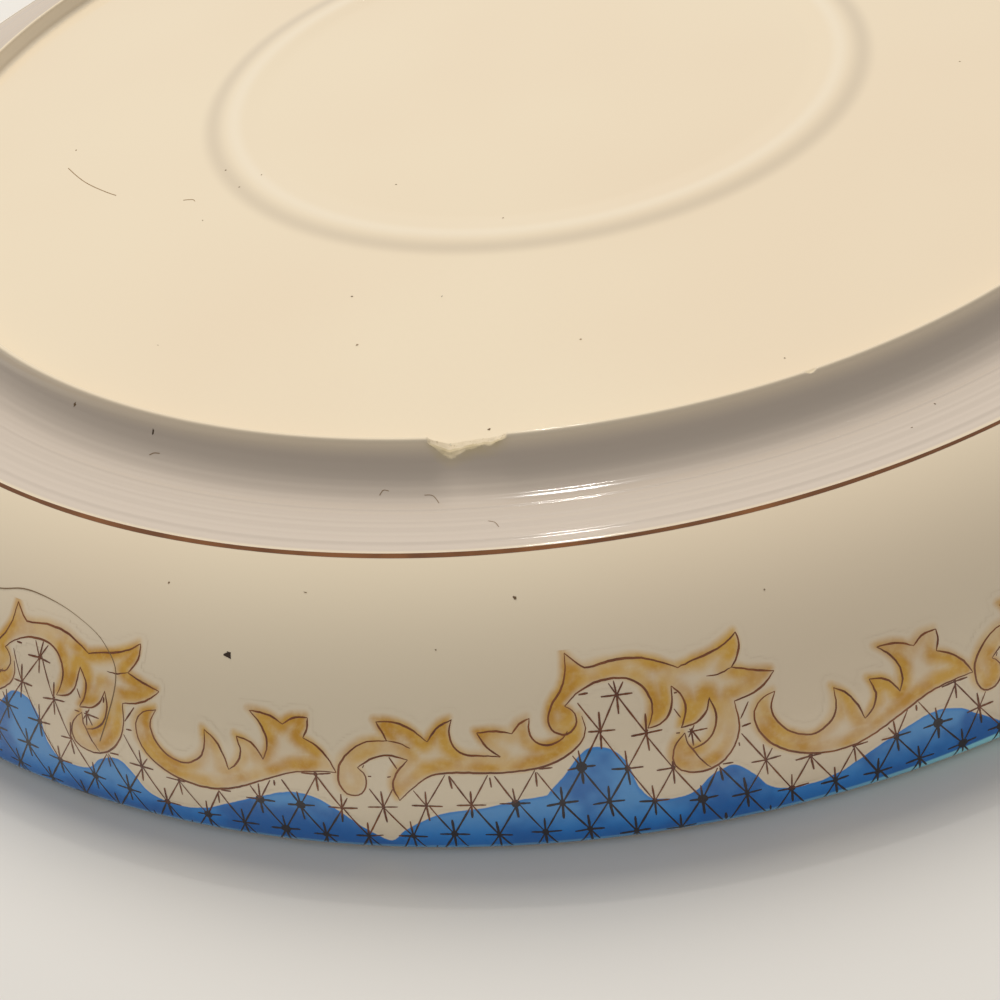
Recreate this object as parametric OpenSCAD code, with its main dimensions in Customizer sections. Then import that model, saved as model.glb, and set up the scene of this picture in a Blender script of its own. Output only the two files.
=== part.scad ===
// A shallow round china bowl, lying upside down on its rim with its foot ring up.
// It is one solid of fired and glazed clay. A bite is broken out of the foot's edge,
// and a second, much smaller nick sits further round.
// Units are millimetres. Z is up, and z = 0 is the plane of the rim that it lies on.

/* [Bowl] */
// Diameter over the rim
rim_d = 240; // [180:1:300]
// Height from the rim to the edge of the foot
height = 31.6; // [25:0.1:45]
// Thickness of the wall at the rim
wall_t = 4; // [3:0.1:6]
// Thickness of the floor inside the foot
floor_t = 5.2; // [4:0.1:7]
// Rounding of the rim, on its outer and inner side
rim_round = 1.6; // [0.5:0.1:1.9]

/* [Foot] */
// Diameter of the foot's edge, as a share of the rim's diameter
foot_share = 0.739; // [0.55:0.001:0.85]
// Where the shelf around the foot ends, as a share of the way from the foot to the rim
shelf_share = 0.43; // [0.35:0.01:0.6]
// Height of the foot above the shelf
foot_h = 4.6; // [3:0.1:6]
// Width of the hollow curve between the foot's edge and the shelf
cove_w = 5.4; // [5:0.1:8]
// Width of the flat edge that the bowl stands on when it is the right way up
land_w = 0.8; // [0.4:0.1:2]
// Depth of the base below the foot's edge
recess = 2.5; // [2:0.1:6]
// How far the foot's inner face leans in towards the base
foot_lean = 0.6; // [0.3:0.1:4]

/* [Ring on the base] */
// Diameter of the low ring, as a share of the foot's diameter
ring_share = 0.494; // [0.2:0.01:0.6]
// Width of the ring
ring_w = 10; // [6:0.5:16]
// Height of the ring
ring_h = 0.4; // [0.2:0.1:1]

/* [Damage] */
// Angle of the bite's deepest point around the foot, from the front
bite_a = -12.9; // [-180:0.1:180]
// Radius of the bite's deep end
bite_r = 2.6; // [2:0.1:4]
// Depth of the bite's deep end
bite_depth = 2; // [1:0.1:2.6]
// Radius of the bite's shallow tail
tail_r = 7; // [5:0.1:12]
// Depth of the bite's shallow tail
tail_depth = 1; // [0.4:0.1:1.5]
// Distance along the foot from the deep end to the tail's middle
tail_step = 2.4; // [2:0.1:5]
// How far the bite leans to the outside of the foot
bite_out = 1.2; // [0:0.1:1.5]
// Angle of the small nick around the foot, from the front
nick_a = 12.7; // [-180:0.1:180]
// Radius of the small nick
nick_r = 0.8; // [0.5:0.1:1.5]
// Depth of the small nick
nick_depth = 0.35; // [0.1:0.05:0.5]

/* [Hidden] */
$fn = 180;

rim_r = rim_d / 2;
foot_r = rim_r * foot_share;
shelf_r = foot_r + shelf_share * (rim_r - foot_r);
shelf_z = height - foot_h;
base_z = height - recess;
under_z = base_z - floor_t;

// The outer wall is one arc, upright at the rim, that ends at the shelf.
wall_run = rim_r - shelf_r;
wall_rise = shelf_z - rim_round;
wall_curve = (wall_run * wall_run + wall_rise * wall_rise) / (2 * wall_run);

// The inside is a quarter arc, upright at the rim and level where it meets the floor.
hollow_curve = under_z - rim_round;
hollow_c = rim_r - wall_t - hollow_curve;

// The cove is an arc from the foot's edge down to a hair below the shelf, so that
// it runs out in a shallow turned groove.
land_out = foot_r + land_w / 2;
land_in = foot_r - land_w / 2;
foot_in = land_in - foot_lean;
cove_end = land_out + cove_w;
cove_dip = 0.05;
cove_h = foot_h + cove_dip;
cove_r = (cove_w * cove_w + cove_h * cove_h) / (2 * cove_h);

// The ring is the cap of a large circle, ring_w wide and ring_h high.
ring_r = foot_r * ring_share;
ring_curve = (ring_w * ring_w / 4 + ring_h * ring_h) / (2 * ring_h);

// Small overlap that makes neighbouring shapes one.
lap = 1;

// The foot's block ends half way down through the thinner of the base and the shelf.
foot_z = (min(base_z, shelf_z) + under_z) / 2;

// The wall between the shelf and the rim, filled in to just inside the shelf's end.
module wall_outline() {
    intersection() {
        translate([rim_r - wall_curve, rim_round]) circle(wall_curve);
        translate([shelf_r - lap, rim_round]) square([wall_run + lap, wall_rise]);
    }
}

// The base inside the foot, with its low ring.
module base_outline() {
    translate([0, rim_round]) square([land_in + lap, base_z - rim_round]);
    intersection() {
        translate([ring_r, base_z + ring_h - ring_curve]) circle(ring_curve);
        translate([ring_r - ring_w, base_z - lap]) square([2 * ring_w, 2 * lap]);
    }
}

// The shelf around the foot, which starts inside the foot's own wall.
module shelf_outline() {
    translate([land_in, rim_round]) square([shelf_r - land_in, shelf_z - rim_round]);
}

// The block that the foot is turned from.
module foot_outline() {
    polygon([[foot_in, foot_z], [foot_in, base_z], [land_in, height],
             [cove_end, height], [cove_end, foot_z]]);
}

// The cove on the outside of the foot.
module cove_outline() {
    translate([cove_end, height - cove_h + cove_r]) circle(cove_r);
}

// The bowl's inside, which faces down.
module hollow_outline() {
    intersection() {
        union() {
            translate([hollow_c, rim_round]) circle(hollow_curve);
            translate([-lap, 0]) square([hollow_c + lap, under_z]);
        }
        translate([-lap, 0]) square([rim_r, under_z]);
    }
}

// The rounded rim, with a narrow flat between its two roundings.
module rim_outline() {
    translate([rim_r - rim_round, rim_round]) circle(rim_round);
    translate([rim_r - wall_t + rim_round, rim_round]) circle(rim_round);
    translate([rim_r - wall_t + rim_round, 0])
        square([wall_t - 2 * rim_round, 2 * rim_round]);
}

// The floor, shelf and wall.
module shell_outline() {
    difference() {
        union() {
            wall_outline();
            base_outline();
            shelf_outline();
        }
        hollow_outline();
    }
}

// A ball that cuts into the foot's edge, at a distance along the edge from angle a.
module cut(a, along, r, depth, out) {
    rotate([0, 0, a]) translate([along, -foot_r - out, height + r - depth]) sphere(r);
}

module bowl() {
    color([0.90, 0.83, 0.71]) difference() {
        union() {
            rotate_extrude() shell_outline();
            rotate_extrude() foot_outline();
            rotate_extrude() rim_outline();
        }
        rotate_extrude() cove_outline();
        cut(bite_a, 0, bite_r, bite_depth, bite_out);
        cut(bite_a, tail_step, tail_r, tail_depth, bite_out);
        cut(nick_a, 0, nick_r, nick_depth, 0);
    }
}

bowl();
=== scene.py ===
# %% [markdown]
# # A chipped china bowl, lying upside down on its rim
#
# The real thing is one piece of clay, turned, fired and glazed. It rests on its rim, so
# its underside is what shows: the foot ring, a turned hollow curve round the foot, a
# thin brown line, and a wall with a printed and hand-washed border of scrolls.
# The foot's edge has a bite out of it, and a hair-fine crack runs over the border.
#
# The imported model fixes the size.

# %% Load the frame
import math

import bpy
import numpy as np
from mathutils import Matrix, Vector


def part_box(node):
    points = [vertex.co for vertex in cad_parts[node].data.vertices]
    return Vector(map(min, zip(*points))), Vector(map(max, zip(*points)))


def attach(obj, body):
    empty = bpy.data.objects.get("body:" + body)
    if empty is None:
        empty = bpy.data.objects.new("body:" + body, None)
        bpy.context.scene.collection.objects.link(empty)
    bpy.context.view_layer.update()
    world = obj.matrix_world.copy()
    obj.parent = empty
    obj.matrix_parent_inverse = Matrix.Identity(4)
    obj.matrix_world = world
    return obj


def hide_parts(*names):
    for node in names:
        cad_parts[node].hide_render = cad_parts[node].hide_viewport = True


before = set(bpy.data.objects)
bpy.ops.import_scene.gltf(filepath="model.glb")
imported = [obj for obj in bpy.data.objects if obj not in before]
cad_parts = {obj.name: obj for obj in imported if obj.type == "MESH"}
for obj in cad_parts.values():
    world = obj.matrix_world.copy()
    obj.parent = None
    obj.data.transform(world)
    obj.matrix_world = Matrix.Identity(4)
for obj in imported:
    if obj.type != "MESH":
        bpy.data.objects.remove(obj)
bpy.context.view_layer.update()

MM = 0.001

# %% [markdown]
# ## The sizes of the bowl
#
# A potter thinks of a bowl as one outline turned about its axis. The rim's radius and
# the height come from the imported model. The rest are the sizes of that outline, in
# millimetres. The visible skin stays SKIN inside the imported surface, which leaves room
# for the print that lies on top of the glaze.

# %% Sizes, in millimetres
node_low, node_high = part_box("bowl")
RIM_R = node_high[0] / MM
HEIGHT = node_high[2] / MM
SKIN = 0.05
WALL_T, FLOOR_T, RIM_ROUND = 4.0, 5.2, 1.6
FOOT_SHARE, SHELF_SHARE, RING_SHARE = 0.739, 0.43, 0.494
FOOT_H, RECESS = 4.6, 2.5
LAND_W, FOOT_LEAN, COVE_W, COVE_DIP = 0.8, 0.6, 5.4, 0.05
RING_W, RING_H = 10.0, 0.4

FOOT_R = RIM_R * FOOT_SHARE
SHELF_R = FOOT_R + SHELF_SHARE * (RIM_R - FOOT_R)
RING_R = FOOT_R * RING_SHARE
SHELF_Z, BASE_Z = HEIGHT - FOOT_H, HEIGHT - RECESS
UNDER_Z = BASE_Z - FLOOR_T

WALL_RISE, WALL_RUN = SHELF_Z - RIM_ROUND, RIM_R - SHELF_R
WALL_CURVE = (WALL_RUN ** 2 + WALL_RISE ** 2) / (2 * WALL_RUN)
WALL_C = RIM_R - WALL_CURVE
WALL_END = math.asin(WALL_RISE / WALL_CURVE)
WALL_LENGTH = WALL_CURVE * WALL_END
print("the wall is an arc of radius", round(WALL_CURVE, 1), "and", round(WALL_LENGTH, 1), "mm long")

# %% [markdown]
# ## The outline
#
# The outline runs from the middle of the base, out over the ring, the foot and the
# wall, round the rim and back along the inside. It could be a curve with a Screw
# modifier, but the foot needs rows a tenth of a millimetre apart and the floor hardly
# any, so the points are laid out along straight runs and arcs, each with its own
# spacing. Small waves stand for the ridges that the turning tool left.

# %% Straight runs and arcs
def run(a, b, step):
    """Points from a to b, without b, at most step apart."""
    n = max(1, math.ceil(math.dist(a, b) / step))
    return [(a[0] + (b[0] - a[0]) * i / n, a[1] + (b[1] - a[1]) * i / n) for i in range(n)]


def arc(cx, cz, radius, start, end, step):
    """Points on an arc from one angle to another in degrees, without the last."""
    n = max(2, math.ceil(abs(math.radians(end - start)) * radius / step))
    angles = [math.radians(start + (end - start) * i / n) for i in range(n)]
    return [(cx + radius * math.cos(a), cz + radius * math.sin(a)) for a in angles]


print("a quarter arc of 10 mm in steps of 2 mm has", len(arc(0, 0, 10, 0, 90, 2)), "points")

# %% Lay out the outline
AXIS_R = 0.01
RING_STEPS = 40


def ring_on_base():
    """The low round-topped ring, as points."""
    out = []
    for i in range(RING_STEPS):
        x = -1 + 2 * i / RING_STEPS
        out.append((RING_R + x * RING_W / 2, BASE_Z + RING_H * math.cos(x * math.pi / 2) ** 2))
    return out


def outline():
    """The whole outline, as (radius, height) points."""
    land_in, land_out = FOOT_R - LAND_W / 2, FOOT_R + LAND_W / 2
    foot_in = land_in - FOOT_LEAN
    edge, foot_round = 0.38, 0.8
    cove_end = land_out + COVE_W
    cove_h = HEIGHT - SHELF_Z + COVE_DIP
    cove_r = (COVE_W ** 2 + cove_h ** 2) / (2 * cove_h)
    cove_z = HEIGHT - cove_h + cove_r
    cove_start = math.degrees(math.atan2(HEIGHT - edge - cove_z, -COVE_W)) % 360
    inner_r = UNDER_Z - RIM_ROUND
    inner_c = RIM_R - WALL_T - inner_r
    p = run((AXIS_R, BASE_Z), (RING_R - RING_W / 2, BASE_Z), 4.0)
    p += ring_on_base()
    p += run((RING_R + RING_W / 2, BASE_Z), (foot_in - 1.2, BASE_Z), 4.0)
    p += arc(foot_in - foot_round, BASE_Z + foot_round, foot_round, 270, 345, 0.12)
    p += run((foot_in, BASE_Z + foot_round), (land_in, HEIGHT - edge), 0.1)
    p += arc(land_in + edge, HEIGHT - edge, edge, 172, 90, 0.07)
    p += arc(land_out - edge, HEIGHT - edge, edge, 90, 20, 0.07)
    p += [q for q in arc(cove_end, cove_z, cove_r, cove_start, 270, 0.15) if q[0] > land_out + 0.05]
    p += run((cove_end, SHELF_Z - COVE_DIP), (cove_end + 1, SHELF_Z - COVE_DIP / 2), 0.1)
    p += run((cove_end + 1, SHELF_Z - COVE_DIP / 2), (SHELF_R - 0.3, SHELF_Z), 0.135)
    p += run((SHELF_R - 0.3, SHELF_Z), (SHELF_R - 0.1, SHELF_Z - 0.02), 0.1)
    p += arc(WALL_C, RIM_ROUND, WALL_CURVE, math.degrees(WALL_END) - 0.6, 0, 0.9)
    p += arc(RIM_R - RIM_ROUND, RIM_ROUND, RIM_ROUND, 0, -90, 0.28)
    p += arc(RIM_R - WALL_T + RIM_ROUND, RIM_ROUND, RIM_ROUND, -90, -180, 0.36)
    p += arc(inner_c, RIM_ROUND, inner_r, 0, 90, 2.2)
    p += run((inner_c, UNDER_Z), (AXIS_R, UNDER_Z), 6.0)
    p.append((AXIS_R, UNDER_Z))
    return np.array(p)


def inward(points, by):
    """The outline moved into the clay by a small distance."""
    d = np.gradient(points, axis=0)
    d /= np.linalg.norm(d, axis=1)[:, None]
    return points - by * np.stack([-d[:, 1], d[:, 0]], axis=1)


profile = inward(outline(), SKIN)
profile[:, 0] = np.maximum(profile[:, 0], AXIS_R)
on_top = np.arange(len(profile)) < np.argmax(profile[:, 0])
print("outline points:", len(profile))

# %% Ridges left by the turning tool
# Each ridge has the distance from crest to crest and half its height.
RIDGES = ((1.9, 0.014), (1.15, 0.010), (0.7, 0.006))
# Each bead, which catches a thin streak of light, has its radius, width and height.
BEADS = ((95.2, 0.26, 0.06), (97.2, 0.2, 0.02), (98.2, 0.2, 0.016), (100.5, 0.24, 0.06))
turned = on_top & (profile[:, 0] > FOOT_R + 1.2) & (profile[:, 0] < SHELF_R - 0.2)
r_turned = profile[turned, 0]
profile[turned, 1] -= sum(h * (1 + np.sin(2 * math.pi * r_turned / w + 7 * w)) for w, h in RIDGES)
profile[turned, 1] += sum(h * np.exp(-((r_turned - r) / w) ** 2) for r, w, h in BEADS)
print("outline points with ridges:", int(turned.sum()))

# %% [markdown]
# ## The bite and the nick
#
# When china is knocked, the edge flakes: the break is steep at one end, deepest near
# it, and runs out in shallow steps at the other. Cutting it with a boolean would leave
# long thin faces, so the columns of the mesh stand close together there and each
# vertex is pushed down to the broken surface instead. How far it went down is kept as
# an attribute, so the material can show bare clay there. A second attribute marks where
# that clay has stained the glaze just below.

# %% Shape of the broken places
BITE_ANGLE, NICK_ANGLE = -12.9, 12.7
NICK_DEPTH, UNBROKEN = 0.35, 1e3
# Along the foot's edge in mm from BITE_ANGLE, and how deep the break is there.
BITE = ((-2.85, 0), (-2.75, 0.4), (-2.3, 0.75), (-1.6, 1.2), (-1.0, 1.5), (-0.5, 1.68), (0.0, 1.6),
        (0.4, 1.5), (1.0, 1.3), (1.7, 1.2), (2.5, 0.98), (3.2, 0.96), (3.8, 0.95), (4.3, 0.85),
        (4.9, 0.72), (5.4, 0.5), (5.8, 0.35), (5.95, 0))


def ripple(x, y, size, seed):
    """Smooth noise from -1 to 1, as a sum of a few crossed waves."""
    draw = np.random.default_rng(seed)
    total = 0
    for _ in range(6):
        a, k, start = draw.uniform(0, 2 * math.pi), draw.uniform(0.6, 1.7), draw.uniform(0, 2 * math.pi)
        total = total + np.sin((x * math.cos(a) + y * math.sin(a)) * 2 * math.pi * k / size + start)
    return total / 3.2


def bite_depth(degrees):
    """Distance along the foot's edge from BITE_ANGLE, and the bite's depth there."""
    along = np.radians(degrees - BITE_ANGLE) * FOOT_R
    return along, np.interp(along, [b[0] for b in BITE], [b[1] for b in BITE])


def broken_height(r, degrees):
    """Height of the broken surface at a place, or far above where nothing broke."""
    along, depth = bite_depth(degrees)
    across = r - FOOT_R
    broken = depth > 0.3
    depth = depth * (1 + 0.05 * across) + (0.05 * ripple(along, across, 1.3, 3)
                                           + 0.03 * ripple(along, across, 0.45, 4)) * broken
    depth = depth + 0.55 * np.clip(across - 0.45, 0, 2) * broken
    bite = np.where((depth > 0) & (across > -1.6) & (across < 2.4), HEIGHT - SKIN - depth, UNBROKEN)
    nick_along = np.radians(degrees - NICK_ANGLE) * FOOT_R
    dist2 = nick_along ** 2 + across ** 2
    nick = np.where(dist2 < 0.6, HEIGHT - NICK_DEPTH + dist2 * 0.6, UNBROKEN)
    return np.minimum(bite, nick)


def stain(r, z, degrees):
    """How much of the clay shows in and just below the bite, from 0 to 1."""
    along, depth = bite_depth(degrees)
    below = HEIGHT - depth - z
    ends = np.clip((along + 3.3) / 1.2, 0, 1) * np.clip((6.6 - along) / 1.8, 0, 1)
    return np.clip(1 - below / 1.5, 0, 1) * ends * (r > FOOT_R + 0.1) * (z < HEIGHT - 0.35)


print("deepest point of the bite:", max(b[1] for b in BITE), "mm")

# %% [markdown]
# ## Turning the bowl
#
# Rows follow the outline and columns go round. Columns are a degree and a half apart
# over most of the bowl, and about a tenth of a degree apart at the bite and the nick.
# That keeps the whole bowl under two hundred thousand triangles. The outline starts and
# ends a hair from the axis, and a fan of triangles closes it at both ends.

# %% Turn the outline into the bowl's mesh
def columns():
    """Angles round the bowl in degrees, from the front, growing to the right."""
    # From, to and step.
    marks = ((-180, -17.4, 1.5), (-17.4, -15.2, 0.4), (-15.2, -6.9, 0.12), (-6.9, -5.1, 0.4),
             (-5.1, 11.4, 1.5), (11.4, 12.2, 0.3), (12.2, 13.2, 0.1), (13.2, 14.1, 0.3), (14.1, 180, 1.5))
    out = []
    for a, b, step in marks:
        out += list(np.linspace(a, b, max(1, math.ceil((b - a) / step)), endpoint=False))
    return np.array(out)


def turn(points, angles):
    """Vertices (in mm), faces, and at each vertex the shares of bare clay and of stain."""
    r, z = np.meshgrid(points[:, 0], angles, indexing="ij")[0], np.repeat(points[:, 1:2], len(angles), 1)
    a = np.radians(angles)[None, :]
    cut = broken_height(r, angles[None, :])
    top = np.repeat(on_top[:, None], len(angles), 1) & (z > SHELF_Z)
    fall = np.where(top, np.maximum(z - cut, 0), 0)
    z = z - fall
    xyz = np.stack([r * np.sin(a), -r * np.cos(a), z], axis=-1).reshape(-1, 3)
    n, m = len(angles), len(points)
    i, j = np.meshgrid(np.arange(m - 1), np.arange(n), indexing="ij")
    k = (j + 1) % n
    faces = np.stack([i * n + j, (i + 1) * n + j, (i + 1) * n + k, i * n + k], axis=-1).reshape(-1, 4)
    stained = stain(r, z, angles[None, :]) * (top | (z > SHELF_Z))
    xyz = np.vstack([xyz, (0, 0, points[0, 1]), (0, 0, points[-1, 1])])
    first, last = len(xyz) - 2, len(xyz) - 1
    end = (m - 1) * n
    caps = [(first, c, (c + 1) % n) for c in range(n)]
    caps += [(last, end + (c + 1) % n, end + c) for c in range(n)]
    bare, stained = (np.append(v.reshape(-1), (0, 0)) for v in (np.clip(fall / 0.15, 0, 1), stained))
    return xyz, [tuple(f) for f in faces] + caps, bare, stained


def add_mesh(name, xyz_mm, faces, attributes):
    """A new smooth object from points in mm, with float attributes on its vertices."""
    mesh = bpy.data.meshes.new(name)
    mesh.from_pydata((np.asarray(xyz_mm) * MM).tolist(), [], [list(map(int, f)) for f in faces])
    for key, values in attributes.items():
        mesh.attributes.new(key, "FLOAT", "POINT").data.foreach_set("value", np.asarray(values, np.float32))
    mesh.polygons.foreach_set("use_smooth", [True] * len(mesh.polygons))
    mesh.update()
    obj = bpy.data.objects.new(name, mesh)
    bpy.context.scene.collection.objects.link(obj)
    return obj


angles = columns()
xyz, bowl_faces, bare, stained = turn(profile, angles)
bowl = add_mesh("bowl_glazed", xyz, bowl_faces, {"bare": bare, "stain": stained})
print("bowl:", len(xyz), "points,", sum(len(face) - 2 for face in bowl_faces), "triangles")

# %% [markdown]
# ## The glaze
#
# The whole bowl wears one ivory glaze. The turned hollow round the foot is coloured
# greyer and cooler than the base, and darker near the foot than near the shelf, which
# is painted shade. Just before the shelf's edge it turns back to ivory, a thin pale strip
# that is partly thin glaze and partly a painted highlight. One function makes the
# glaze's colour. The print uses it too, so where a wash fades out it turns into exactly
# the glaze beneath it. The low ring's crest is painted a little paler, a painted
# highlight, and the strip just outside it a little darker, a painted shade. Where the
# edge broke off, one attribute swaps the glaze for the dry, sandy clay under it, and
# another lets that clay stain the glaze below the break.

# %% Small helpers for materials
def tint(red, green, blue):
    """A colour written as 0 to 255 screen values, as Blender's linear colour."""
    def linear(c):
        c /= 255
        return c / 12.92 if c <= 0.04045 else ((c + 0.055) / 1.055) ** 2.4
    return (linear(red), linear(green), linear(blue), 1.0)


class Nodes:
    """One material and short calls for its nodes."""

    def __init__(self, name):
        self.material = bpy.data.materials.new(name)
        self.material.use_nodes = True
        self.tree = self.material.node_tree
        self.shader = self.tree.nodes["Principled BSDF"]

    def add(self, kind, **settings):
        """A new node, with its settings."""
        node = self.tree.nodes.new("ShaderNode" + kind)
        for key, value in settings.items():
            setattr(node, key, value)
        return node

    def put(self, socket, value):
        """Sets a socket to a value, or links another node's output to it."""
        if isinstance(value, bpy.types.NodeSocket):
            self.tree.links.new(value, socket)
        else:
            socket.default_value = value

    def set(self, **values):
        """Sets the shader's sockets by name, with _ for a space."""
        for key, value in values.items():
            self.put(self.shader.inputs[key.replace("_", " ")], value)

    def position(self):
        return self.add("TexCoord").outputs["Object"]

    def coordinate(self, axis):
        parts = self.add("SeparateXYZ")
        self.put(parts.inputs[0], self.position())
        return parts.outputs[axis]

    def attribute(self, name):
        return self.add("Attribute", attribute_name=name).outputs["Fac"]

    def math(self, operation, a, b=0.0):
        node = self.add("Math", operation=operation)
        self.put(node.inputs[0], a)
        self.put(node.inputs[1], b)
        return node.outputs[0]

    def ramp(self, value, low, high, to_low=0.0, to_high=1.0):
        """A smooth step of a value, from to_low at low to to_high at high."""
        node = self.add("MapRange", interpolation_type="SMOOTHSTEP")
        for socket, v in zip(node.inputs, (value, low, high, to_low, to_high)):
            self.put(socket, v)
        return node.outputs[0]

    def mix(self, share, a, b):
        """Two colours mixed by a share of the second."""
        node = self.add("Mix", data_type="RGBA")
        for i, v in ((0, share), (6, a), (7, b)):
            self.put(node.inputs[i], v)
        return node.outputs[2]

    def noise(self, size_mm, detail):
        """Soft noise with features of about a size, as a value from 0 to 1."""
        node = self.add("TexNoise")
        self.put(node.inputs["Vector"], self.position())
        node.inputs["Scale"].default_value = 1 / (size_mm * MM)
        node.inputs["Detail"].default_value = detail
        return node.outputs["Fac"]

    def bump(self, height, strength, distance_mm, normal=None):
        """A bent surface direction, over another one if it is given."""
        node = self.add("Bump")
        node.inputs["Strength"].default_value = strength
        node.inputs["Distance"].default_value = distance_mm * MM
        self.put(node.inputs["Height"], height)
        if normal:
            self.put(node.inputs["Normal"], normal)
        return node.outputs["Normal"]


print("middle grey in linear light:", round(tint(128, 128, 128)[0], 3))

# %% The glaze's colour, shared by the bowl and the print
IVORY, IVORY_WARM = tint(238, 222, 194), tint(236, 218, 190)
# The grey hollow round the foot: darker near the foot and lighter towards the shelf, which is painted shade.
FOOT_GREY_SHADED, FOOT_GREY_LIT = tint(198, 184, 169), tint(210, 196, 181)
# A paler crest on the low ring and a darker strip just outside it: a painted highlight and a painted shade.
RING_PAINTED_HIGHLIGHT, RING_PAINTED_SHADE = tint(242, 229, 206), tint(210, 194, 170)
GLAZE_ROUGHNESS = 0.1


def glaze_colour(n):
    """The glaze at each place, as a colour socket in material n."""
    flat = n.add("VectorMath", operation="MULTIPLY")
    n.put(flat.inputs[0], n.position())
    flat.inputs[1].default_value = (1, 1, 0)
    length = n.add("VectorMath", operation="LENGTH")
    n.put(length.inputs[0], flat.outputs[0])
    r, z = length.outputs["Value"], n.coordinate("Z")
    ivory = n.mix(n.ramp(n.noise(60, 2), 0.3, 0.7), IVORY, IVORY_WARM)
    # The grey hollow round the foot, darker near the foot than near the shelf: painted shade.
    grey_with_painted_shade = n.mix(n.ramp(r, (FOOT_R + 1) * MM, (SHELF_R - 1) * MM), FOOT_GREY_SHADED, FOOT_GREY_LIT)
    outside = n.ramp(z, (SHELF_Z - 1.2) * MM, (SHELF_Z - 0.6) * MM)
    band = n.math("MULTIPLY", n.ramp(r, (FOOT_R - 0.1) * MM, (FOOT_R + 1.2) * MM), outside)
    # Back to ivory just before the shelf's edge: a thin pale strip, partly thin glaze and partly a painted
    # highlight.
    band = n.math("MULTIPLY", band, n.ramp(r, (SHELF_R - 0.35) * MM, (SHELF_R + 0.1) * MM, 1.0, 0.0))
    # The paler crest on the low ring is a painted highlight, and the darker strip just outside it is painted
    # shade.
    crest_highlight = n.ramp(n.math("ABSOLUTE", n.math("SUBTRACT", r, (RING_R - 0.2) * MM)), 0.0, 1.7 * MM, 0.6, 0.0)
    trough_shade = n.ramp(n.math("ABSOLUTE", n.math("SUBTRACT", r, (RING_R + 3.0) * MM)), 0.0, 2.2 * MM, 0.6, 0.0)
    outer = n.ramp(z, (BASE_Z - 2) * MM, (BASE_Z - 1) * MM)
    ivory = n.mix(n.math("MULTIPLY", crest_highlight, outer), ivory, RING_PAINTED_HIGHLIGHT)
    ivory = n.mix(n.math("MULTIPLY", trough_shade, outer), ivory, RING_PAINTED_SHADE)
    return n.mix(band, ivory, grey_with_painted_shade)


def glossy(n):
    """The finish of fired glaze, which the print shares because it lies under it."""
    n.set(Roughness=GLAZE_ROUGHNESS, IOR=1.5, Coat_Weight=0.4, Coat_Roughness=0.02)


print("the cooler glaze spans", round(FOOT_R), "to", round(SHELF_R), "mm from the axis")

# %% Glaze the bowl
CLAY, CLAY_DARK, CLAY_GRIT = tint(234, 218, 190), tint(220, 201, 168), tint(170, 146, 108)
STAIN = tint(204, 186, 148)
glaze = Nodes("ivory_glaze")
glossy(glaze)
bare_clay = glaze.attribute("bare")
clay = glaze.mix(glaze.noise(0.8, 3), CLAY, CLAY_DARK)
clay = glaze.mix(glaze.ramp(glaze.noise(0.35, 2), 0.60, 0.72, 0.0, 0.6), clay, CLAY_GRIT)
skin = glaze.mix(bare_clay, glaze_colour(glaze), clay)
patchy = glaze.ramp(glaze.noise(1.4, 3), 0.25, 0.6, 0.45, 1.0)
stained_share = glaze.math("MULTIPLY", glaze.attribute("stain"), patchy)
glaze.set(Base_Color=glaze.mix(stained_share, skin, STAIN))
glaze.set(Roughness=glaze.ramp(bare_clay, 0.0, 1.0, GLAZE_ROUGHNESS, 0.6))
ripples = glaze.bump(glaze.noise(6.0, 2), 0.05, 0.08)
grit = glaze.math("MULTIPLY", glaze.noise(0.4, 3), bare_clay)
glaze.set(Normal=glaze.bump(grit, 0.5, 0.12, ripples))
bowl.data.materials.append(glaze.material)
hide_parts("bowl")
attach(bowl, "root")
print("glaze nodes:", len(glaze.tree.nodes))

# %% [markdown]
# ## The border, drawn flat
#
# Such borders are printed flat on thin paper and laid round the wall, so the border is
# drawn flat too: u runs along the rim and v up the wall, both in millimetres. Eleven
# equal repeats go round. Each repeat has three scrolls: a tall arch with two leaf
# tips, a long leafy wave, and a curled bulb with small leaves. A scroll is a list of
# strokes; each stroke is a smooth line through a few points and meets the next one at
# a sharp corner, as a pen would draw it.

# %% Repeats round the rim
REPEATS = 11
PITCH = 2 * math.pi * RIM_R / REPEATS
# Where the first repeat starts round the bowl, in degrees from the front.
FIRST_ANGLE = -40.84
print("one repeat is", round(PITCH, 1), "mm of the rim")

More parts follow.
